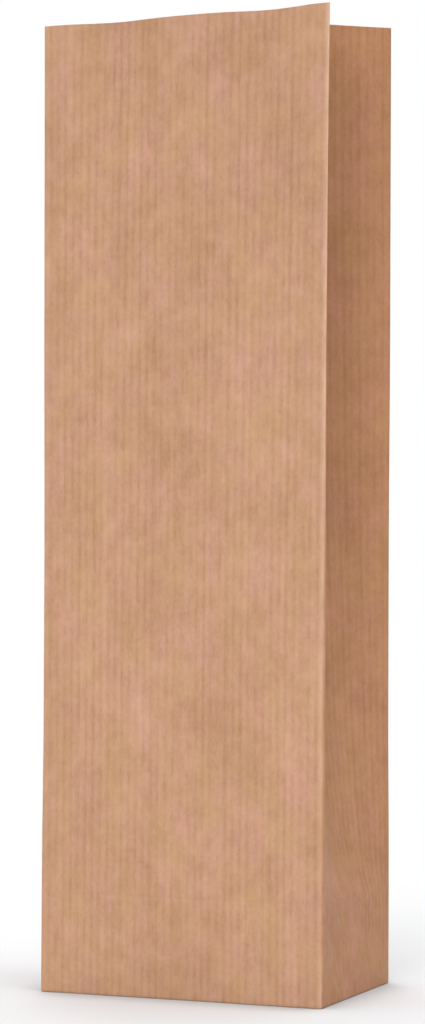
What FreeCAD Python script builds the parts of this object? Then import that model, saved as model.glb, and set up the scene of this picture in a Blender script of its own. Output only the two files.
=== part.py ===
"""Block-bottom kraft paper bag for one wine bottle, standing open with its side gussets.

The bag is folded from one sheet.  Each flat area between two creases is a separate solid,
because the creases are where it moves.  Millimetres, +Z up, origin on the floor at the middle
of the base, front panel towards -Y.
"""
import FreeCAD
import Part
import os

# ---- driving dimensions ----
bag_width = 120.0
bag_depth = 80.0
bag_height = 387.0
paper = 0.3
glue = 0.06

seam_lap_width = 14.0
seam_glue_width = 8.0
seam_glue_end_gap = 4.0
seam_step_near = 0.2
seam_step_far = 0.6

flap_front_reach = 52.0
flap_rear_reach = 50.0
flap_corner_cut = 14.0
tuck_reach = 42.0
glue_line_width = 10.0
tuck_glue_length = 15.0
glue_end_margin = 20.0

# ---- clearances at the places where the folded loop is opened ----
crease_gap = 0.15
open_pivot_gap = 0.1
foot_trim = 4.0
foot_rear_trim = 3.0
corner_trim = 0.6

# ---- derived values ----
half_width = bag_width / 2
half_depth = bag_depth / 2
fold_height = half_depth
side_inner = half_width - paper
front_inner = paper - half_depth
back_inner = half_depth - paper
seam_inner = back_inner - glue - paper
flap_rear_bottom = paper + glue
tuck_bottom = flap_rear_bottom + paper + glue
base_top = tuck_bottom + paper
wall_bottom = base_top + crease_gap
base_front = front_inner


def polygon(points):
    """A flat face from corner points, closed automatically."""
    corners = [FreeCAD.Vector(*point) for point in points]
    return Part.Face(Part.makePolygon(corners + corners[:1]))


def sheet_x(outline_yz, x_low, thickness):
    """A sheet parallel to the YZ plane."""
    face = polygon([(x_low, y, z) for y, z in outline_yz])
    return face.extrude(FreeCAD.Vector(thickness, 0, 0))


def sheet_y(outline_xz, y_low, thickness):
    """A sheet parallel to the XZ plane."""
    face = polygon([(x, y_low, z) for x, z in outline_xz])
    return face.extrude(FreeCAD.Vector(0, thickness, 0))


def sheet_z(outline_xy, z_low, thickness):
    """A sheet parallel to the XY plane."""
    face = polygon([(x, y, z_low) for x, y in outline_xy])
    return face.extrude(FreeCAD.Vector(0, 0, thickness))


def rectangle(low_a, high_a, low_b, high_b):
    return [(low_a, low_b), (high_a, low_b), (high_a, high_b), (low_a, high_b)]


def mirrored(shape):
    """The same piece on the left-hand side."""
    return shape.mirror(FreeCAD.Vector(0, 0, 0), FreeCAD.Vector(1, 0, 0))


def front_panel():
    """Front wall above the crease that the base folds up on."""
    return sheet_y(rectangle(-half_width, half_width, fold_height, bag_height), -half_depth, paper)


def front_foot():
    """Lowest strip of the front wall, between that crease and the front edge of the base."""
    return sheet_y(rectangle(-half_width, half_width, 0, fold_height), -half_depth, paper)


def back_panel_right():
    """Right part of the back wall.  Its edge is the outside of the seam."""
    outline = rectangle(-seam_lap_width / 2, half_width, wall_bottom, bag_height)
    return sheet_y(outline, back_inner, paper)


def back_panel_left():
    """Left part of the back wall.  Its edge steps in, under the right part, and is glued there."""
    step_far = -seam_lap_width / 2 - seam_step_far
    step_near = -seam_lap_width / 2 - seam_step_near
    tip = seam_lap_width / 2
    outline = [(-half_width, half_depth), (step_far, half_depth), (step_near, seam_inner + paper),
               (tip, seam_inner + paper), (tip, seam_inner), (step_near - paper, seam_inner),
               (step_far - paper, back_inner), (-half_width, back_inner)]
    return sheet_z(outline, wall_bottom, bag_height - wall_bottom)


def seam_glue():
    """Glue line down the middle of the seam, between the two parts of the back wall."""
    outline = rectangle(-seam_glue_width / 2, seam_glue_width / 2,
                        wall_bottom + seam_glue_end_gap, bag_height - seam_glue_end_gap)
    return sheet_y(outline, back_inner - glue, glue)


def gusset_front_half():
    """Front half of a side gusset, from the front corner to the centre crease."""
    outline = rectangle(front_inner, 0, fold_height + crease_gap, bag_height)
    return sheet_x(outline, side_inner, paper)


def gusset_rear_half(rear):
    """Rear half of a side gusset, ending at rear.  Its foot is cut along the 45 degree crease."""
    tip = fold_height + wall_bottom - rear
    outline = [(0, fold_height), (rear, tip), (rear, bag_height), (0, bag_height)]
    return sheet_x(outline, side_inner, paper)


def gusset_foot():
    """Triangle of the gusset between the two 45 degree creases, on the short edge of the base."""
    low = base_top
    front = base_front + foot_trim
    rear = half_depth - foot_rear_trim
    apex_y = (front + rear) / 2
    apex_z = low + (rear - front) / 2
    return sheet_x([(front, low), (rear, low), (apex_y, apex_z)], side_inner, paper)


def corner_fold():
    """Small triangle of the gusset between the 45 degree crease and the front corner."""
    top = fold_height - corner_trim
    bottom = base_top + foot_trim
    outline = [(front_inner, bottom), (front_inner, top), (front_inner + top - bottom, top)]
    return sheet_x(outline, side_inner, paper)


def bottom_flap(hinge_y, tip_y, z_low):
    """One long flap of the base, with its two free corners cut off."""
    if tip_y > hinge_y:
        inset_y = tip_y - flap_corner_cut
    else:
        inset_y = tip_y + flap_corner_cut
    outline = [(-half_width, hinge_y), (half_width, hinge_y), (half_width, inset_y),
               (half_width - flap_corner_cut, tip_y), (flap_corner_cut - half_width, tip_y),
               (-half_width, inset_y)]
    return sheet_z(outline, z_low, paper)


def bottom_flap_front():
    """Outermost flap, folded back from the front edge last."""
    return bottom_flap(base_front, base_front + flap_front_reach, 0)


def bottom_flap_rear():
    """Flap folded forward from the rear edge, under the front flap's end."""
    return bottom_flap(half_depth, half_depth - flap_rear_reach, flap_rear_bottom)


def bottom_tuck():
    """End of the gusset, turned in flat as a trapezium above the two long flaps."""
    tip = half_width - tuck_reach
    front = base_front
    outline = [(half_width, front), (half_width, half_depth),
               (tip, half_depth - tuck_reach / 2), (tip, front + tuck_reach / 2)]
    return sheet_z(outline, tuck_bottom, paper)


def bottom_glue():
    """Glue line that holds the front flap's end on the rear flap."""
    y_high = base_front + flap_front_reach - flap_corner_cut / 2
    reach = half_width - glue_end_margin
    return sheet_z(rectangle(-reach, reach, y_high - glue_line_width, y_high), paper, glue)


def tuck_glue():
    """Glue line that holds one tuck on the rear flap."""
    x_high = half_width - glue_end_margin
    y_high = half_depth - glue_end_margin
    outline = rectangle(x_high - glue_line_width, x_high, y_high - tuck_glue_length, y_high)
    return sheet_z(outline, flap_rear_bottom + paper, glue)


nodes = {
    "front_panel": front_panel(),
    "front_foot": front_foot(),
    "back_panel_right": back_panel_right(),
    "back_panel_left": back_panel_left(),
    "seam_glue": seam_glue(),
    "gusset_right_front": gusset_front_half(),
    "gusset_right_rear": gusset_rear_half(back_inner),
    "gusset_left_front": mirrored(gusset_front_half()),
    "gusset_left_rear": mirrored(gusset_rear_half(back_inner - open_pivot_gap)),
    "gusset_foot_right": gusset_foot(),
    "gusset_foot_left": mirrored(gusset_foot()),
    "corner_fold_right": corner_fold(),
    "corner_fold_left": mirrored(corner_fold()),
    "bottom_flap_front": bottom_flap_front(),
    "bottom_flap_rear": bottom_flap_rear(),
    "bottom_tuck_right": bottom_tuck(),
    "bottom_tuck_left": mirrored(bottom_tuck()),
    "bottom_glue": bottom_glue(),
    "tuck_glue_right": tuck_glue(),
    "tuck_glue_left": mirrored(tuck_glue()),
}

os.makedirs("parts", exist_ok=True)
for name, shape in nodes.items():
    shape.exportStep("parts/" + name + ".step")
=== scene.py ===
"""Block-bottom kraft paper bag, standing open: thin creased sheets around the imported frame."""
import math

import bmesh
import bpy
import numpy as np
from mathutils import Matrix, Vector, noise


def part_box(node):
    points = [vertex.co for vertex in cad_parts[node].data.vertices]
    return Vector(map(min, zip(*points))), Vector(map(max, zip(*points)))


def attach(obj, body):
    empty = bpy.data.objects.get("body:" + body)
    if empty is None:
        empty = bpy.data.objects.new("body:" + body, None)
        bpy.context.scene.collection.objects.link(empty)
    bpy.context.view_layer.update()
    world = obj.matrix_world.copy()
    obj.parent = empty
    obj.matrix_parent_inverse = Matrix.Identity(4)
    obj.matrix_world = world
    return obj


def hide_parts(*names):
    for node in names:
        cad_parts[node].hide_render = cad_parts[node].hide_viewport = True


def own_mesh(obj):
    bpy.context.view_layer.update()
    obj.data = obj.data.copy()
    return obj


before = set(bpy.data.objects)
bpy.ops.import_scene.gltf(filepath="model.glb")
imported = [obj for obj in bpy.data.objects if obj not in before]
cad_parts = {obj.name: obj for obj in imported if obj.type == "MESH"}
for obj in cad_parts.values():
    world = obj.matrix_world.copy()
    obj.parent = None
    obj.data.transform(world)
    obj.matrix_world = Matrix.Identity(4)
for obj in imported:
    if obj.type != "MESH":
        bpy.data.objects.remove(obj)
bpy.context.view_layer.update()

MM = 0.001

# ---- sizes from the frame ----
front_low, front_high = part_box("front_panel")
_, seam_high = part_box("back_panel_left")
HALF_WIDTH = front_high[0]
HALF_DEPTH = -front_low[1]
WIDTH = 2 * HALF_WIDTH
DEPTH = 2 * HALF_DEPTH
HEIGHT = front_high[2]
FOLD_HEIGHT = front_low[2]
SEAM_HALF = seam_high[0]

# ---- paper ----
PAPER = 0.16 * MM
SHARP_FOLD = 0.6 * MM            # radius of a square fold; a sharper fold has a smaller one
SOFT_FOLD = 2.6 * MM             # radius of the free front corner, low on the bag
MIDDLE_ROUND = 0.8 * MM          # what the front left and back right folds gain half way up
FOOT_RADIUS = 0.6 * MM           # of the fold into the base
RIB_PITCH = 3.18 * MM
WEAR_AND_HIGHLIGHT_ON_FRONT = 1.5 * MM         # how far the paler band, partly rubbed paper and partly a painted highlight, reaches from the free corner
WEAR_AND_HIGHLIGHT_ON_SIDE = 0.7 * MM

# ---- how the bag stands ----
BACK_LEAN = Vector((8.7, -26.35)) * MM       # how far the top of the back wall has come over
LEAN_POWER = 0.85                # it comes over a little sooner low down
FRONT_FLARE = Vector((3.2, -4.1)) * MM       # how far the free front corner springs out
FLARE_START = 120 * MM
FRONT_BULGE = 0.4 * MM           # the free front corner stands a little proud all the way up
LEFT_EDGE_BOW = 0.35 * MM
CORNER_EASE = 6.0 * MM           # how gently the right gusset leaves that corner, low on the bag
FOOT_PLEAT = 3.6 * MM            # depth of the pleat at the fold height
PLEAT_SOFT_LOW = 0.42            # roundness of the pleat at the foot, as a share of its half width
PLEAT_SOFT_HIGH = 0.16           # and at the mouth
FOOT_RAMP = 1.15                 # how steeply the foot of a gusset leans in
FOOT_BLEND = 0.12                # softness of its two slanting creases
SOFT_BEGINS = (0, 25 * MM)       # heights over which the free front corner's fold opens up
SOFT_ENDS = (120 * MM, 270 * MM)             # and over which it closes again
ROUND_BEGINS = (50 * MM, 110 * MM)           # the same for MIDDLE_ROUND
ROUND_ENDS = (170 * MM, 270 * MM)


def smooth(value, low, high):
    """0 below low, 1 above high, and smooth between."""
    t = min(max((value - low) / (high - low), 0), 1)
    return t * t * (3 - 2 * t)


def unit(vector):
    return vector / max(vector.length, 1e-12)


def left_of(vector):
    return Vector((-vector.y, vector.x))


def bell(value, centre, width):
    return math.exp(-((value - centre) / width) ** 2)


def paper_noise(x, y, scale, seed):
    return noise.noise(Vector((x / scale, y / scale, seed)))


# ---------------------------------------------------------------- the plan of the tube
def above_fold(z):
    """0 at the fold height and below it, 1 at the mouth."""
    return max(z - FOLD_HEIGHT, 0) / (HEIGHT - FOLD_HEIGHT)


def flare_share(z):
    """How much of the flare there is at a height: most grows evenly, the rest close to the top."""
    t = max(z - FLARE_START, 0) / (HEIGHT - FLARE_START)
    return 0.75 * t ** 0.8 + 0.25 * t ** 6


def fold_softness(z):
    """The free front corner opens up low down, but not where it runs into the base."""
    return smooth(z, *SOFT_BEGINS) * (1 - smooth(z, *SOFT_ENDS))


def corners(z):
    """Plan of the tube's four standing folds: front left, front right, back right, back left."""
    bow = LEFT_EDGE_BOW * math.sin(math.pi * z / HEIGHT)
    lean = BACK_LEAN * above_fold(z) ** LEAN_POWER
    proud = Vector((FRONT_BULGE * smooth(z, 0, 20 * MM), 0))
    return [Vector((bow - HALF_WIDTH, -HALF_DEPTH)),
            Vector((HALF_WIDTH, -HALF_DEPTH)) + proud + FRONT_FLARE * flare_share(z),
            Vector((HALF_WIDTH, HALF_DEPTH)) + lean,
            Vector((-HALF_WIDTH, HALF_DEPTH)) + lean]


def pleat_depth(half_gap, z):
    """Depth of a gusset's pleat: what is left of its paper when its corners come closer."""
    folded = math.sqrt(max(HALF_DEPTH ** 2 - half_gap ** 2, 0))
    return math.hypot(folded, FOOT_PLEAT)


def pleat_profile(t, soft):
    """A rounded V: 1 at the centre crease and 0 at both corners, where t is -1 and 1."""
    return (math.hypot(1, soft) - math.hypot(t, soft)) / (math.hypot(1, soft) - soft)


def soft_minimum(a, b, reach):
    """The lower of two values, rounded where they are within reach of each other."""
    overlap = max(reach - abs(a - b), 0) / reach
    return min(a, b) - overlap * overlap * reach / 4


def gusset_point(start, end, share, z):
    """A point of a gusset between its two corners, share from 0 to 1."""
    chord = end - start
    soft = PLEAT_SOFT_LOW + (PLEAT_SOFT_HIGH - PLEAT_SOFT_LOW) * above_fold(z) ** 0.6
    profile = pleat_profile(2 * share - 1, soft)
    if start.x > 0:
        profile *= 1 - math.exp(-share * DEPTH / (0.1 * MM + CORNER_EASE * fold_softness(z)))
    if z < FOLD_HEIGHT:
        profile = soft_minimum(profile, FOOT_RAMP * z / FOLD_HEIGHT, FOOT_BLEND)
    inward = left_of(unit(chord))
    return start + chord * share + inward * profile * pleat_depth(chord.length / 2, z)


FRONT, RIGHT, BACK, LEFT = range(4)
WALL_LENGTH = [WIDTH, DEPTH, WIDTH, DEPTH]
# where each wall starts on the flat sheet, whose two ends meet at the seam in the back wall
SHEET_START = [0.0, WIDTH, WIDTH + DEPTH, -DEPTH]
ROUND_THE_BAG = 2 * (WIDTH + DEPTH)


def wall_point(index, share, z):
    """A point on one whole wall with sharp corners."""
    plan = corners(z)
    start, end = plan[index], plan[(index + 1) % 4]
    if index in (RIGHT, LEFT):
        return gusset_point(start, end, share, z)
    return start + (end - start) * share


def wall_direction(index, share, z):
    """Which way a wall runs at a place, in plan."""
    step = 0.01
    low, high = max(share - step, 0), min(share + step, 1)
    return unit(wall_point(index, high, z) - wall_point(index, low, z))


def fold_radius(index, z):
    """Radius of the standing fold at the start of a wall."""
    if index == RIGHT:
        return SHARP_FOLD + (SOFT_FOLD - SHARP_FOLD) * fold_softness(z)
    if index == LEFT:
        return SHARP_FOLD
    half_way_up = smooth(z, *ROUND_BEGINS) * (1 - smooth(z, *ROUND_ENDS))
    return SHARP_FOLD + MIDDLE_ROUND * half_way_up


def fold_arc(index, z):
    """The round fold at the start of a wall: centre, radius, angle of its first point, its turn,
    and how much of each wall it takes up."""
    corner = wall_point(index, 0, z)
    way_in = wall_direction((index - 1) % 4, 1, z)
    way_out = wall_direction(index, 0, z)
    turn = math.atan2(way_in.cross(way_out), way_in.dot(way_out))
    square_radius = fold_radius(index, z)
    square_cut = square_radius * (math.sqrt(2) - 1)
    radius = min(square_radius, square_cut / (1 / math.cos(turn / 2) - 1))
    reach = radius * math.tan(turn / 2)
    first = corner - way_in * reach
    centre = first + left_of(way_in) * radius
    return centre, radius, math.atan2(first.y - centre.y, first.x - centre.x), turn, reach


def arc_point(arc, share):
    """A point on a round fold, with share from 0 to 1 along its turn."""
    centre, radius, angle, turn, _ = arc
    angle += turn * share
    return centre + Vector((math.cos(angle), math.sin(angle))) * radius


def foot_inset(z):
    """How far the walls curl under at the fold into the base."""
    if z >= FOOT_RADIUS:
        return 0.0
    return FOOT_RADIUS * (1 - math.sqrt(max(1 - (1 - z / FOOT_RADIUS) ** 2, 0)))


def pull_in(point, inset):
    """A point of the plan, moved in from the walls."""
    return Vector((point.x * (1 - inset / HALF_WIDTH), point.y * (1 - inset / HALF_DEPTH)))


ARC_STEPS = 4                    # from the flat of a wall to the middle of its round fold
_arcs = {}


def arcs_of(index, z):
    """The folds at both ends of a wall, worked out once for each height."""
    key = (index, round(z, 7))
    if key not in _arcs:
        _arcs[key] = fold_arc(index, z), fold_arc((index + 1) % 4, z)
    return _arcs[key]


def rounded_point(index, place, z):
    """A point of a wall with round folds.  place is (share, None) on the flat, or (0 or 1, step)
    for one step of the fold at that end, counted from the wall outwards."""
    share, step = place
    first, last = arcs_of(index, z)
    if step is None:
        length = (wall_point(index, 1, z) - wall_point(index, 0, z)).length
        low, high = first[4] / length, last[4] / length
        point = wall_point(index, low + (1 - low - high) * share, z)
    elif share == 0:
        point = arc_point(first, 1 - 0.5 * step / ARC_STEPS)
    else:
        point = arc_point(last, 0.5 * step / ARC_STEPS)
    return pull_in(point, foot_inset(z))


def graded(length, coarse=1.6 * MM, fine=0.25 * MM, growth=1.4):
    """Shares along a length: fine steps beside both ends, coarse ones between."""
    steps = [0.0]
    size = fine
    while steps[-1] < length / 2:
        steps.append(steps[-1] + size)
        size = min(size * growth, coarse)
    half = [s / steps[-1] / 2 for s in steps]
    return half + [1 - s for s in reversed(half[:-1])]


def places(index, low, high):
    """Places along a wall from share low to share high, with the folds where it reaches a corner."""
    flat = [low + (high - low) * share for share in graded(WALL_LENGTH[index] * (high - low))]
    result = [(share, None) for share in flat]
    if low == 0:
        result = [(0, step) for step in range(ARC_STEPS, 0, -1)] + result
    if high == 1:
        result += [(1, step) for step in range(1, ARC_STEPS + 1)]
    return result


def heights(low, high):
    """Heights of the rows between two creases."""
    length = high - low
    return [low + length * share for share in graded(length, 3.0 * MM, 0.4 * MM)]


# ---------------------------------------------------------------- sheets as closed thin solids
def weld(mesh):
    """Joins the points that meet at the tip of a triangle, so that no face is empty."""
    work = bmesh.new()
    work.from_mesh(mesh)
    bmesh.ops.remove_doubles(work, verts=work.verts, dist=0.001 * MM)
    bmesh.ops.dissolve_degenerate(work, edges=work.edges, dist=0.001 * MM)
    work.to_mesh(mesh)
    work.free()


def sharpen_rims(mesh):
    """Cut edges of the paper stay crisp."""
    normals = {}
    for polygon in mesh.polygons:
        polygon.use_smooth = True
        for key in polygon.edge_keys:
            normals.setdefault(key, []).append(polygon.normal.copy())
    sharp = mesh.attributes.new("sharp_edge", "BOOLEAN", "EDGE")
    for edge in mesh.edges:
        pair = normals.get(edge.key, [])
        sharp.data[edge.index].value = len(pair) == 2 and pair[0].dot(pair[1]) < 0.4


def build_sheet(name, outer, sheet_uv, wear_and_highlight, thickness=PAPER):
    """A thin closed sheet.  outer is rows x columns x 3, its outside; the inside is one thickness in.
    sheet_uv is in metres on the flat paper, and the fourth argument, paler paper that is partly
    rubbed and partly a painted highlight, is 0 to 1."""
    rows, columns, _ = outer.shape
    normal = np.cross(np.gradient(outer, axis=1), np.gradient(outer, axis=0))
    size = np.linalg.norm(normal, axis=2, keepdims=True)
    inner = outer - normal / np.maximum(size, 1e-15) * thickness
    vertices = np.concatenate([outer.reshape(-1, 3), inner.reshape(-1, 3)])
    offset = rows * columns
    grid = np.arange(offset).reshape(rows, columns)
    quads = np.stack([grid[:-1, :-1], grid[:-1, 1:], grid[1:, 1:], grid[1:, :-1]], axis=-1)
    quads = quads.reshape(-1, 4)
    faces = quads.tolist() + (quads[:, ::-1] + offset).tolist()
    rim = list(grid[0]) + list(grid[1:, -1]) + list(grid[-1, -2::-1]) + list(grid[-2:0:-1, 0])
    for a, b in zip(rim, rim[1:] + rim[:1]):
        faces.append([int(b), int(a), int(offset + a), int(offset + b)])
    mesh = bpy.data.meshes.new(name)
    mesh.from_pydata(vertices.tolist(), [], faces)
    loops = np.zeros(len(mesh.loops), dtype=np.int32)
    mesh.loops.foreach_get("vertex_index", loops)
    flat = np.concatenate([sheet_uv.reshape(-1, 2)] * 2)
    uv_layer = mesh.uv_layers.new(name="sheet")
    uv_layer.data.foreach_set("uv", flat[loops].astype(np.float32).ravel())
    attribute = mesh.attributes.new("wear_and_highlight", "FLOAT", "POINT")
    attribute.data.foreach_set("value", np.concatenate([wear_and_highlight.ravel()] * 2).astype(np.float32))
    weld(mesh)
    sharpen_rims(mesh)
    piece = bpy.data.objects.new(name, mesh)
    bpy.context.scene.collection.objects.link(piece)
    return piece


def along_sheet(index, place, z):
    """How far along the flat sheet a place is from the start of its wall, round folds included."""
    share, step = place
    first, last = (arc[1] * arc[3] / 2 for arc in arcs_of(index, z))
    length = WALL_LENGTH[index]
    if step is None:
        return first + (length - first - last) * share
    outward = step / ARC_STEPS
    return first * (1 - outward) if share == 0 else length - last * (1 - outward)


def corner_wear_and_highlight(index, along, z):
    """Paler paper beside the free front corner, mostly on the front wall: partly rubbed paper and
    partly a painted highlight where the fold catches the light.  It is patchy, and weaker where the
    fold is soft and near the foot."""
    if index not in (FRONT, RIGHT):
        return 0.0
    from_corner = WIDTH - along if index == FRONT else along
    reach = WEAR_AND_HIGHLIGHT_ON_FRONT if index == FRONT else WEAR_AND_HIGHLIGHT_ON_SIDE
    patchy = 0.85 + 0.4 * paper_noise(0, z, 20 * MM, 12.6) - 0.45 * fold_softness(z)
    above_foot = 0.45 + 0.55 * smooth(z, 8 * MM, 35 * MM)
    return patchy * above_foot * bell(from_corner, 0, reach)


def sheet_grids(index, cells, offset, shift=0.0):
    """Points, sheet coordinates and paler paper, partly rubbed and partly a painted highlight, for
    rows of cells, where a cell is a place on one wall and a height.  offset gives a distance outward
    from a share and a height, and shift moves the cells along the flat sheet."""
    shape = (len(cells), len(cells[0]))
    outer, sheet_uv, wear_and_highlight = np.zeros(shape + (3,)), np.zeros(shape + (2,)), np.zeros(shape)
    for r, row in enumerate(cells):
        for c, (place, z) in enumerate(row):
            outward = -left_of(wall_direction(index, place[0], z))
            point = rounded_point(index, place, z) + outward * offset(place[0], z)
            along = along_sheet(index, place, z)
            outer[r, c] = (point.x, point.y, z)
            sheet_uv[r, c] = (SHEET_START[index] + shift + along, z)
            wear_and_highlight[r, c] = corner_wear_and_highlight(index, along, z)
    return outer, sheet_uv, wear_and_highlight


def wall_grids(index, rows, offset, low=0.0, high=1.0, low_line=None, shift=0.0):
    """A stretch of one wall from share low to share high.  low_line gives the lowest height for a
    share, and the rows are squeezed to start there."""
    def height(place, row):
        bottom = low_line(place[0]) if low_line else rows[0]
        return bottom + (row - rows[0]) * (rows[-1] - bottom) / (rows[-1] - rows[0])
    columns = places(index, low, high)
    return sheet_grids(index, [[(place, height(place, row)) for place in columns]
                               for row in rows], offset, shift)


# ---------------------------------------------------------------- soft offsets of each wall
def edge_fade(share, width=0.12):
    """0 at both folds and 1 away from them."""
    return smooth(min(share, 1 - share), 0, width)


BUCKLE_DEPTH = 0.8 * MM          # of the slanting buckle at the foot of a gusset
BUCKLE_WIDTH = 4.0 * MM
LAP_LIFT = 0.35 * MM             # how far the cut edge at the seam stands off
LAP_FREE = 1.1 * MM              # and how wide a strip of it does
LAP_STEP = (0.1 * MM, 1.4 * MM)  # where the left part comes out again past that edge
TOP_DIPS = [(0.25, 0.13, 3.6 * MM),          # share of the front, width as a share, depth
            (0.78, 0.13, 4.2 * MM),
            (0.5, 0.2, 1.0 * MM)]


def front_offset(share, z):
    """The front wall dips inward near its free top edge, and ripples faintly all over.  There are
    two faint level lines: the foot crease, and the mark that the base's edge left when the bag was
    packed flat."""
    top = max(z - FLARE_START, 0) / (HEIGHT - FLARE_START)
    dip = sum(depth * bell(share, centre, width) for centre, width, depth in TOP_DIPS)
    ripple = 0.3 * MM * paper_noise(share * WIDTH, z * 0.3, 30 * MM, 1.7)
    cockle = 0.05 * MM * paper_noise(share * WIDTH, z * 0.6, 8 * MM, 5.1)
    crease = -0.08 * MM * bell(z, FOLD_HEIGHT, 0.8 * MM)
    imprint = 0.10 * MM * bell(z, DEPTH, 0.9 * MM) * smooth(share, 0.35, 0.6)
    return edge_fade(share) * (-dip * top ** 1.6 + ripple + cockle + crease + imprint)


def back_offset(share, z):
    """The back wall bows in a little where it leans."""
    ripple = 0.5 * MM * paper_noise(share * WIDTH, z * 0.25, 35 * MM, 9.3)
    return edge_fade(share) * (ripple - 1.5 * MM * math.sin(math.pi * share) * above_fold(z))


def past_lap(share):
    """Distance along the back wall past the cut edge of its right part."""
    return (share - 0.5) * WIDTH - SEAM_HALF


def lap_edge(share, z):
    """The cut edge of the right part isn't glued, and stands a little proud of the left part."""
    return back_offset(share, z) + LAP_LIFT * bell(past_lap(share), 0, LAP_FREE)


def seam_step(share, z):
    """The left part of the back wall steps in under the right part at the seam."""
    step = 1 - smooth(past_lap(share), *LAP_STEP)
    return back_offset(share, z) - 1.5 * PAPER * step


def gusset_offset(seed, from_front):
    """Ripples of a gusset, and a shallow buckle that runs from its front corner at the fold height
    down to the middle of its foot.  from_front turns a share into the share from the front."""
    def offset(share, z):
        ripple = 0.35 * MM * paper_noise(share * DEPTH, z * 0.4, 20 * MM, seed)
        cockle = 0.05 * MM * paper_noise(share * DEPTH, z * 0.6, 7 * MM, seed + 7)
        run = from_front(share) * DEPTH / HALF_DEPTH
        line = (run + z / FOLD_HEIGHT - 1) * HALF_DEPTH / math.sqrt(2)
        buckle = -BUCKLE_DEPTH * bell(line, 0, BUCKLE_WIDTH) * (1 - smooth(run, 0.5, 1.1))
        return edge_fade(share, 0.06) * smooth(z, 0, 10 * MM) * (ripple + cockle + buckle)
    return offset


# ---------------------------------------------------------------- materials
def linear(red, green, blue):
    """A colour for a shader, from its usual 0 to 255 values."""
    def channel(value):
        value /= 255
        return value / 12.92 if value <= 0.04045 else ((value + 0.055) / 1.055) ** 2.4
    return (channel(red), channel(green), channel(blue), 1)


class Nodes:
    """A short way to write node trees."""

    def __init__(self, name):
        self.material = bpy.data.materials.new(name)
        self.material.use_nodes = True
        self.tree = self.material.node_tree
        self.shader = self.tree.nodes["Principled BSDF"]

    def put(self, socket, value):
        if isinstance(value, bpy.types.NodeSocket):
            self.tree.links.new(value, socket)
        else:
            socket.default_value = value

    def add(self, kind, inputs=None, **settings):
        node = self.tree.nodes.new(kind)
        for key, value in settings.items():
            setattr(node, key, value)
        for key, value in (inputs or {}).items():
            self.put(node.inputs[key], value)
        return node

    def math(self, operation, a, b=0.0, c=0.0):
        return self.add("ShaderNodeMath", {0: a, 1: b, 2: c}, operation=operation).outputs[0]

    def total(self, *values):
        result = values[0]
        for value in values[1:]:
            result = self.math("ADD", result, value)
        return result

    def noise(self, sheet, across, along, detail=2.0, roughness=0.5):
        """Noise on the flat sheet, with grains of this size across and along it, in metres."""
        placed = self.add("ShaderNodeMapping", {"Vector": sheet, "Scale": (1 / across, 1 / along, 1)})
        grain = self.add("ShaderNodeTexNoise", {"Vector": placed.outputs[0], "Scale": 1.0,
                                                "Detail": detail, "Roughness": roughness})
        return grain.outputs["Fac"]

    def mix(self, share, a, b):
        node = self.add("ShaderNodeMix", data_type="RGBA")
        self.put(node.inputs[0], share)
        self.put(node.inputs[6], a)
        self.put(node.inputs[7], b)
        return node.outputs[2]

    def range(self, value, low, high, to_low=0.0, to_high=1.0):
        node = self.add("ShaderNodeMapRange", {0: value, 1: low, 2: high, 3: to_low, 4: to_high})
        return node.outputs[0]


KRAFT = linear(193, 150, 120)
KRAFT_PINK = linear(198, 150, 130)
KRAFT_YELLOW = linear(189, 151, 109)
KRAFT_DARK = linear(154, 110, 80)
# paler paper at the free front corner: partly rubbed, partly a painted highlight
KRAFT_WORN_AND_HIGHLIT = linear(214, 178, 154)
GUSSET_PAINTED_SHADE = (1.0, 0.888, 0.766, 1)         # painted shade: the gussets are the same paper, coloured warmer and darker for the shade they stand in
# how much each kind of mark darkens the paper at its strongest, and a paler start for all of it
DARKEN = {"rib": 0.20, "line": 0.15, "streak": 0.13, "speck": 0.15, "cloud": 0.26, "bank": 0.24,
          "patch": 0.24, "fibre": 0.05, "fleck": 0.18}
PALER = -0.245


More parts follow.
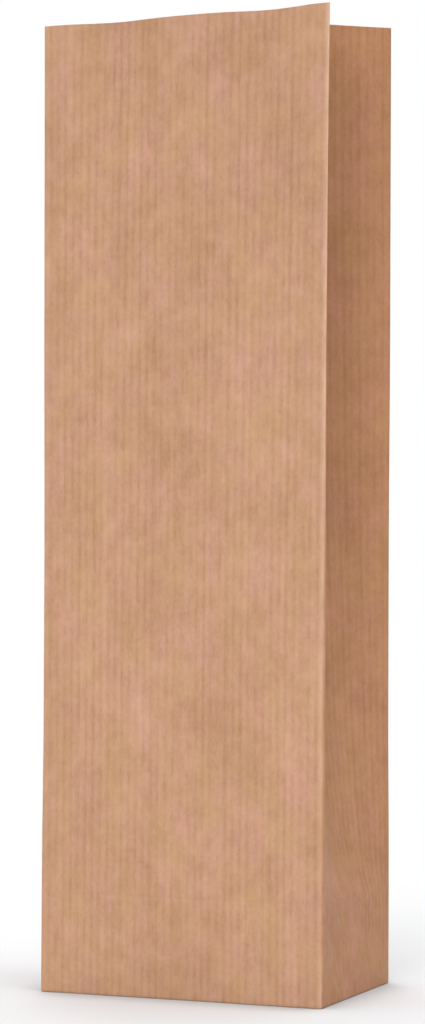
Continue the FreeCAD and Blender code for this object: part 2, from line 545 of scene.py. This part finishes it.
def kraft_material(name, rib_strength=1.0, painted_shade=None):
    """Ribbed kraft paper: ribs along the sheet, cloudy pulp, flecks, and paler folds that are partly
    rubbed paper and partly a painted highlight; a tint, if given, lays a painted shade over all of
    it.
    """
    n = Nodes(name)
    sheet = n.add("ShaderNodeUVMap", uv_map="sheet").outputs[0]
    wear_and_highlight = n.add("ShaderNodeAttribute", attribute_name="wear_and_highlight").outputs["Fac"]
    across = n.add("ShaderNodeSeparateXYZ", {0: sheet}).outputs[0]
    wander = n.math("MULTIPLY", n.noise(sheet, 30 * MM, 300 * MM, 1.0), 4.0)
    rib = n.math("SINE", n.math("MULTIPLY_ADD", across, 2 * math.pi / RIB_PITCH, wander))
    rib_weight = n.range(n.noise(sheet, 6 * MM, 25 * MM, 2.0), 0.3, 0.7, 0.35, 1.0)
    rib_tone = n.math("MULTIPLY", n.range(rib, -0.6, 1), rib_weight)
    # from long thin lines, by streaks and specks, to clouds and broad patches
    line = n.noise(sheet, 2.6 * MM, 900 * MM, 2.0, 0.65)
    streak = n.noise(sheet, 1.1 * MM, 9 * MM, 2.0, 0.6)
    speck = n.noise(sheet, 1.1 * MM, 1.9 * MM, 2.0, 0.6)
    cloud = n.noise(sheet, 5 * MM, 7 * MM, 3.0, 0.6)
    bank = n.noise(sheet, 14 * MM, 20 * MM, 2.0, 0.6)
    patch = n.noise(sheet, 38 * MM, 70 * MM, 2.0)
    hue = n.noise(sheet, 13 * MM, 26 * MM, 3.0, 0.6)
    fibre = n.noise(sheet, 0.35 * MM, 0.7 * MM, 2.0, 0.7)
    fleck = n.noise(sheet, 0.6 * MM, 2.4 * MM, 1.0)
    colour = n.mix(n.range(hue, 0.36, 0.64), KRAFT_YELLOW, KRAFT_PINK)
    colour = n.mix(0.3, colour, KRAFT)
    dark = n.total(n.math("MULTIPLY", rib_tone, DARKEN["rib"] * rib_strength),
                   n.range(line, 0.3, 0.7, 0.0, DARKEN["line"] * rib_strength),
                   n.range(streak, 0.3, 0.7, 0.0, DARKEN["streak"] * rib_strength),
                   n.range(speck, 0.3, 0.7, 0.0, DARKEN["speck"]),
                   n.range(cloud, 0.3, 0.7, 0.0, DARKEN["cloud"]),
                   n.range(bank, 0.3, 0.7, 0.0, DARKEN["bank"]),
                   n.range(patch, 0.3, 0.7, 0.0, DARKEN["patch"]),
                   n.range(fibre, 0.35, 0.75, 0.0, DARKEN["fibre"]),
                   n.range(fleck, 0.66, 0.74, 0.0, DARKEN["fleck"]),
                   PALER)
    dark = n.math("MAXIMUM", n.math("MINIMUM", dark, 1.0), 0.0)
    colour = n.mix(dark, colour, KRAFT_DARK)
    # paler beside the free front fold: partly rubbed paper, partly a painted highlight
    worn_and_highlit = n.math("MULTIPLY", wear_and_highlight, n.range(streak, 0.3, 0.7, 0.7, 0.45))
    colour = n.mix(worn_and_highlit, colour, KRAFT_WORN_AND_HIGHLIT)
    # painted shade: the tint makes the whole colour warmer and darker
    if painted_shade:
        shade_tinted = n.add("ShaderNodeMix", data_type="RGBA", blend_type="MULTIPLY")
        n.put(shade_tinted.inputs[0], 1.0)
        n.put(shade_tinted.inputs[6], colour)
        n.put(shade_tinted.inputs[7], painted_shade)
        colour = shade_tinted.outputs[2]
    n.put(n.shader.inputs["Base Color"], colour)
    n.put(n.shader.inputs["Roughness"], n.range(cloud, 0.3, 0.7, 0.70, 0.82))
    n.shader.inputs["Specular IOR Level"].default_value = 0.3
    n.shader.inputs["Sheen Weight"].default_value = 0.06
    n.shader.inputs["Sheen Roughness"].default_value = 0.5
    relief = n.total(n.math("MULTIPLY", rib_tone, rib_strength),
                     n.math("MULTIPLY", line, 0.6), n.math("MULTIPLY", streak, 0.6),
                     n.math("MULTIPLY", fibre, 0.4))
    bump = n.add("ShaderNodeBump", {"Strength": 0.5, "Distance": 0.05 * MM, "Height": relief})
    n.put(n.shader.inputs["Normal"], bump.outputs[0])
    return n.material


def glue_material():
    """Dried water-based glue: slightly glossy, milky and uneven."""
    n = Nodes("dried_glue")
    sheet = n.add("ShaderNodeUVMap", uv_map="sheet").outputs[0]
    blot = n.noise(sheet, 3 * MM, 6 * MM, 4.0, 0.6)
    n.put(n.shader.inputs["Base Color"],
          n.mix(n.range(blot, 0.35, 0.65), linear(186, 150, 112), linear(212, 186, 154)))
    n.put(n.shader.inputs["Roughness"], n.range(blot, 0.3, 0.7, 0.3, 0.5))
    bump = n.add("ShaderNodeBump", {"Strength": 0.4, "Distance": 0.05 * MM, "Height": blot})
    n.put(n.shader.inputs["Normal"], bump.outputs[0])
    return n.material


MATERIALS = {"kraft_panel": kraft_material("kraft_panel"),
             # the gussets' copy of the paper carries the painted shade
             "kraft_gusset": kraft_material("kraft_gusset", painted_shade=GUSSET_PAINTED_SHADE),
             "kraft_base": kraft_material("kraft_base", rib_strength=0.8),
             "dried_glue": glue_material()}


def finish_piece(piece, node, body, slot_name):
    """Gives a piece the material of its slot, hides the CAD node it stands for, and hangs it from its
    body.
    """
    piece.data.materials.append(MATERIALS[slot_name])
    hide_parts(node)
    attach(piece, body)
    return piece


# ---------------------------------------------------------------- the walls
SEAM_SHARE = SEAM_HALF / WIDTH
CURL_STEPS = 5                   # rows round the fold into the base
curl_rows = [FOOT_RADIUS * (1 - math.cos(math.pi / 2 * step / CURL_STEPS))
             for step in range(CURL_STEPS)]
upper_rows = heights(FOLD_HEIGHT, HEIGHT)
full_rows = curl_rows + heights(FOOT_RADIUS, HEIGHT)
# rows of the foot meet the columns of the gussets' rear halves along the 45 degree creases
crease_shares = graded(HALF_DEPTH)
foot_rows = curl_rows + [FOLD_HEIGHT * share for share in crease_shares
                         if FOLD_HEIGHT * share > FOOT_RADIUS]


def make_wall(node, body, slot_name, index, rows, offset, **stretch):
    """One stretch of a wall as a finished piece."""
    grids = wall_grids(index, rows, offset, **stretch)
    return finish_piece(build_sheet(node + "_sheet", *grids), node, body, slot_name)


def rear_foot_line(share):
    """Lowest height of a gusset's rear half: the 45 degree crease, for the right gusset."""
    return FOLD_HEIGHT * (1 - (share - 0.5) * 2)


front = make_wall("front_panel", "front_wall", "kraft_panel", FRONT, upper_rows, front_offset)
front_foot = make_wall("front_foot", "foot", "kraft_panel", FRONT, foot_rows, front_offset)
back_right = make_wall("back_panel_right", "back_wall", "kraft_panel", BACK, full_rows,
                       lap_edge, high=0.5 + SEAM_SHARE)
back_left = make_wall("back_panel_left", "back_wall", "kraft_panel", BACK, full_rows,
                      seam_step, low=0.5 - SEAM_SHARE, shift=-ROUND_THE_BAG)
right_ripple = gusset_offset(21.4, lambda share: share)
left_ripple = gusset_offset(34.9, lambda share: 1 - share)
gussets = [
    make_wall("gusset_right_front", "front_wall", "kraft_gusset", RIGHT, upper_rows,
              right_ripple, high=0.5),
    make_wall("gusset_right_rear", "front_wall", "kraft_gusset", RIGHT, upper_rows,
              right_ripple, low=0.5, low_line=rear_foot_line),
    make_wall("gusset_left_rear", "front_wall", "kraft_gusset", LEFT, upper_rows,
              left_ripple, high=0.5, low_line=lambda share: rear_foot_line(1 - share)),
    make_wall("gusset_left_front", "front_wall", "kraft_gusset", LEFT, upper_rows,
              left_ripple, low=0.5),
]


# ---------------------------------------------------------------- the folded foot of the gussets
def tip_share(z):
    """Share at which the 45 degree crease from a gusset's corner has risen to this height."""
    return 0.5 * z / FOLD_HEIGHT


def triangle_cells(z):
    """Between the two 45 degree creases."""
    tip = tip_share(z)
    return [((tip + (1 - 2 * tip) * across, None), z) for across in graded(DEPTH)]


def corner_cells(z):
    """From the round front corner of the right gusset to its crease."""
    flat = [((tip_share(z) * across, None), z) for across in graded(HALF_DEPTH)]
    return [((0, step), z) for step in range(ARC_STEPS, 0, -1)] + flat


def mirrored_cells(z):
    """The same for the left gusset, whose front corner is its last place."""
    return [((1 - share, step), z) for (share, step), _ in reversed(corner_cells(z))]


def make_triangle(index, name, offset):
    """Foot of a gusset between its two 45 degree creases."""
    grids = sheet_grids(index, [triangle_cells(z) for z in foot_rows], offset)
    return finish_piece(build_sheet("gusset_foot_" + name + "_sheet", *grids),
                        "gusset_foot_" + name, name + "_foot", "kraft_gusset")


def make_corner_fold(index, name, offset, cells):
    """Small triangle beside a front corner."""
    grids = sheet_grids(index, [cells(z) for z in foot_rows], offset)
    return finish_piece(build_sheet("corner_fold_" + name + "_sheet", *grids),
                        "corner_fold_" + name, "foot", "kraft_gusset")


right_triangle = make_triangle(RIGHT, "right", right_ripple)
left_triangle = make_triangle(LEFT, "left", left_ripple)
corner_folds = [make_corner_fold(RIGHT, "right", right_ripple, corner_cells),
                make_corner_fold(LEFT, "left", left_ripple, mirrored_cells)]


# ---------------------------------------------------------------- the glued base
LAYER = PAPER + 0.03 * MM        # a sheet and the air or glue above it
FOOT_EDGE_X = HALF_WIDTH - FOOT_RADIUS       # where the walls' curl ends, on the floor
FOOT_EDGE_Y = HALF_DEPTH - FOOT_RADIUS
FLAP_SIDE = FOOT_EDGE_X - 1.7 * MM           # the flaps are a little narrower than the base
FLAP_CUT = 14 * MM               # how much is cut off each free corner
TUCK_RISE = 1.5 * MM             # length over which a tuck climbs on to the flaps


def even(start, end, step):
    """Even steps of about this size, both ends included."""
    count = max(2, int(abs(end - start) / step) + 1)
    return [start + (end - start) * i / (count - 1) for i in range(count)]


def base_grids(y_lines, shares, span, level):
    """A sheet of the base with its outside below: rows go towards -Y, columns towards +X."""
    shape = (len(y_lines), len(shares))
    outer, sheet_uv = np.zeros(shape + (3,)), np.zeros(shape + (2,))
    for r, y in enumerate(y_lines):
        low, high = span(y)
        for c, share in enumerate(shares):
            x = low + (high - low) * share
            outer[r, c] = (x, y, level(x, y))
            sheet_uv[r, c] = (x + HALF_WIDTH, -(y + HALF_DEPTH))
    return outer, sheet_uv, np.zeros(shape)


def base_wave(x, y, seed):
    """Base sheets are pressed flat, but never quite."""
    return 0.04 * MM * (1 + paper_noise(x, y, 20 * MM, seed))


def make_flap(node, hinge_y, tip_y, layer_height, seed):
    """One long flap of the base, its two free corners cut off."""
    toward = 1 if tip_y > hinge_y else -1

    def span(y):
        half = FLAP_SIDE - max(toward * (y - tip_y) + FLAP_CUT, 0)
        return -half, half

    def level(x, y):
        from_hinge = toward * (y - hinge_y)
        raised = layer_height * smooth(from_hinge, 0, 3 * MM)
        return raised + base_wave(x, y, seed) * smooth(from_hinge, 0, 6 * MM)

    y_lines = even(hinge_y, tip_y, 2 * MM) + [tip_y - toward * FLAP_CUT]
    grids = base_grids(sorted(set(y_lines), reverse=True), even(0.0, 1.0, 0.02), span, level)
    finish_piece(build_sheet(node + "_sheet", *grids), node, "base", "kraft_base")


def make_tuck(side, name):
    """End of the gusset, turned in over the two flaps as a trapezium."""
    low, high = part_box("bottom_tuck_" + name)
    reach = high[0] - low[0]

    def span(y):
        inner = FOOT_EDGE_X - min(reach, 2 * (FOOT_EDGE_Y - abs(y)) + 2 * MM)
        return (inner, FOOT_EDGE_X) if side > 0 else (-FOOT_EDGE_X, -inner)

    def level(x, y):
        return 2 * LAYER * smooth(FOOT_EDGE_X - abs(x), 0, TUCK_RISE) + base_wave(x, y, 93.0)

    # columns are close together near the outer edge, where the tuck climbs
    shares = [0.0, 0.005, 0.01, 0.02, 0.03, 0.045] + even(0.06, 1.0, 0.03)
    if side > 0:
        shares = [1 - share for share in reversed(shares)]
    end = FOOT_EDGE_Y - 1 * MM
    grids = base_grids(even(end, -end, 2 * MM), shares, span, level)
    finish_piece(build_sheet("bottom_tuck_" + name + "_sheet", *grids),
                 "bottom_tuck_" + name, "base", "kraft_base")


GLUE = 0.02 * MM                 # thickness of a glue film


def make_glue(node, body, outer, uv_axes):
    """A thin uneven film between two sheets."""
    outer = np.array(outer)
    piece = build_sheet(node + "_film", outer, outer[:, :, uv_axes], np.zeros(outer.shape[:2]),
                        GLUE)
    return finish_piece(piece, node, body, "dried_glue")


def make_base_glue(node, level):
    """A glue line between two layers of the base."""
    low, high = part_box(node)
    rows = even(high[1], low[1], 1 * MM)
    columns = even(low[0], high[0], 1 * MM)
    points = [[(x, y + 0.4 * MM * paper_noise(x, y, 4 * MM, 3.3), level) for x in columns]
              for y in rows]
    make_glue(node, "base", points, [0, 1])


def make_seam_glue():
    """The film in the lap of the back wall."""
    low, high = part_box("seam_glue")
    outer, _, _ = wall_grids(BACK, even(low[2], high[2], 3 * MM), back_offset,
                             0.5 + low[0] / WIDTH, 0.5 + high[0] / WIDTH)
    outer[:, :, 1] -= 1.1 * PAPER
    return make_glue("seam_glue", "back_wall", outer, [0, 2])


_, front_flap_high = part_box("bottom_flap_front")
rear_flap_low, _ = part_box("bottom_flap_rear")
make_flap("bottom_flap_front", -FOOT_EDGE_Y, front_flap_high[1], 0.0, 71.0)
make_flap("bottom_flap_rear", FOOT_EDGE_Y, rear_flap_low[1], LAYER, 82.0)
make_tuck(1, "right")
make_tuck(-1, "left")
# each film lies just above the inside of the sheet under it
make_base_glue("bottom_glue", PAPER + 0.06 * MM)
for side_name in ("right", "left"):
    make_base_glue("tuck_glue_" + side_name, LAYER + PAPER + 0.08 * MM)
seam = make_seam_glue()

# ---------------------------------------------------------------- each soft piece gets a mesh of its own
for soft in [front] + gussets + corner_folds:
    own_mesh(soft)
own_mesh(front_foot)
for soft in (back_right, back_left, seam):
    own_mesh(soft)
for soft, side in ((right_triangle, HALF_WIDTH), (left_triangle, -HALF_WIDTH)):
    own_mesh(soft)


# ---------------------------------------------------------------- floor, light and camera
FLOOR_PALE = (0.66, 0.667, 0.68, 1)
FLOOR_SHADED = (0.46, 0.48, 0.50, 1)         # painted contact shadow, right beside the paper
WHITE_BEGINS = 0.08              # metres from the middle of the bag
WHITE_ENDS = 0.5


def stage_material():
    """Pale floor with a painted contact shadow close to the bag, that fades, as the camera sees it,
    into the white all round.
    """
    n = Nodes("pale_floor")
    # painted shadow: the floor colour darkens where the bag is within reach
    nearby = n.add("ShaderNodeAmbientOcclusion", {"Distance": 18 * MM}, samples=8)
    open_share = n.range(nearby.outputs["AO"], 0.45, 0.95)
    n.put(n.shader.inputs["Base Color"], n.mix(open_share, FLOOR_SHADED, FLOOR_PALE))
    n.shader.inputs["Roughness"].default_value = 0.9
    n.shader.inputs["Specular IOR Level"].default_value = 0.1
    place = n.add("ShaderNodeTexCoord").outputs["Object"]
    distance = n.add("ShaderNodeVectorMath", {0: place}, operation="LENGTH").outputs["Value"]
    fade = n.add("ShaderNodeMapRange", {"Value": distance, "From Min": WHITE_BEGINS,
                                        "From Max": WHITE_ENDS}, interpolation_type="SMOOTHSTEP")
    camera_ray = n.add("ShaderNodeLightPath").outputs["Is Camera Ray"]
    seen_white = n.math("MULTIPLY", fade.outputs["Result"], camera_ray)
    white = n.add("ShaderNodeEmission").outputs[0]
    mix = n.add("ShaderNodeMixShader", {0: seen_white, 1: n.shader.outputs[0], 2: white})
    n.put(n.tree.nodes["Material Output"].inputs["Surface"], mix.outputs[0])
    return n.material


FLOOR_HALF = 40.0                # metres, so that its edge is never seen


def make_floor():
    """A wide flat floor, so that every view has it in front of and behind the bag."""
    half = FLOOR_HALF
    mesh = bpy.data.meshes.new("floor")
    mesh.from_pydata([(-half, -half, 0), (half, -half, 0), (half, half, 0), (-half, half, 0)],
                     [], [(0, 1, 2, 3)])
    floor = bpy.data.objects.new("floor", mesh)
    floor.data.materials.append(stage_material())
    bpy.context.scene.collection.objects.link(floor)


def add_lamp(name, data, place, target):
    """Puts a lamp in place, turned to its target and unseen by the camera."""
    lamp = bpy.data.objects.new(name, data)
    lamp.location = place
    lamp.visible_camera = False
    lamp.rotation_euler = (Vector(target) - Vector(place)).to_track_quat("-Z", "Y").to_euler()
    bpy.context.scene.collection.objects.link(lamp)


def soft_sun(name, direction, strength, angle):
    """A very soft light from far off, which lights the floor evenly."""
    data = bpy.data.lights.new(name, "SUN")
    data.energy = strength
    data.angle = math.radians(angle)
    add_lamp(name, data, direction, (0, 0, 0))


def card(name, place, target, size, watts):
    """A small reflector card that stands on the floor outside the view."""
    data = bpy.data.lights.new(name, "AREA")
    data.shape = "RECTANGLE"
    data.size, data.size_y = size
    data.energy = watts
    add_lamp(name, data, place, target)


AMBIENT = 0.25                   # strength of the light from all round


def make_world():
    """White to the camera, and a weaker light all round."""
    world = bpy.data.worlds.new("studio")
    bpy.context.scene.world = world
    world.use_nodes = True
    tree = world.node_tree
    around = tree.nodes["Background"]
    around.inputs["Color"].default_value = (1, 1, 1, 1)
    around.inputs["Strength"].default_value = AMBIENT
    seen = tree.nodes.new("ShaderNodeBackground")
    seen.inputs["Color"].default_value = (1, 1, 1, 1)
    path = tree.nodes.new("ShaderNodeLightPath")
    mix = tree.nodes.new("ShaderNodeMixShader")
    tree.links.new(path.outputs["Is Camera Ray"], mix.inputs[0])
    tree.links.new(around.outputs[0], mix.inputs[1])
    tree.links.new(seen.outputs[0], mix.inputs[2])
    tree.links.new(mix.outputs[0], tree.nodes["World Output"].inputs["Surface"])


def make_light():
    """Even studio light from the front, above and behind, with two low cards near the foot."""
    make_world()
    soft_sun("key", (0.05, -2.2, 1.1), 1.38, 35)
    soft_sun("overhead", (0.1, 0.1, 1.8), 3.15, 70)
    soft_sun("low_front", (-0.5, -2.2, 0.5), 0.34, 35)
    soft_sun("behind", (-1.2, 2.0, 1.2), 0.5, 40)
    card("side_card", (0.42, -0.05, 0.03), (0.06, 0, 0.03), (0.4, 0.06), 0.17)
    card("front_card", (0.1, -0.38, 0.03), (0, -0.04, 0.03), (0.5, 0.06), 0.12)


CAMERA_PLACE = (0.44361, -1.0825, 0.16529)
CAMERA_AZIMUTH = math.radians(22.4)
CAMERA_ROLL = math.radians(0.216)
CAMERA_LENS = 101.31             # mm, on a 36 mm sensor
CAMERA_SHIFT = 0.0664            # upward, while the camera itself stays level


def make_camera():
    """Level camera a little over a metre away, right of the front, low on the bag."""
    data = bpy.data.cameras.new("camera")
    data.sensor_width = 36.0
    data.lens = CAMERA_LENS
    data.shift_y = CAMERA_SHIFT
    data.clip_start = 0.01
    data.clip_end = 100
    camera = bpy.data.objects.new("camera", data)
    camera.location = CAMERA_PLACE
    turn = (Matrix.Rotation(CAMERA_AZIMUTH, 3, "Z") @ Matrix.Rotation(math.pi / 2, 3, "X")
            @ Matrix.Rotation(CAMERA_ROLL, 3, "Z"))
    camera.rotation_euler = turn.to_euler()
    bpy.context.scene.collection.objects.link(camera)
    bpy.context.scene.camera = camera


make_floor()
make_light()
make_camera()
bpy.context.scene.view_settings.view_transform = "Standard"
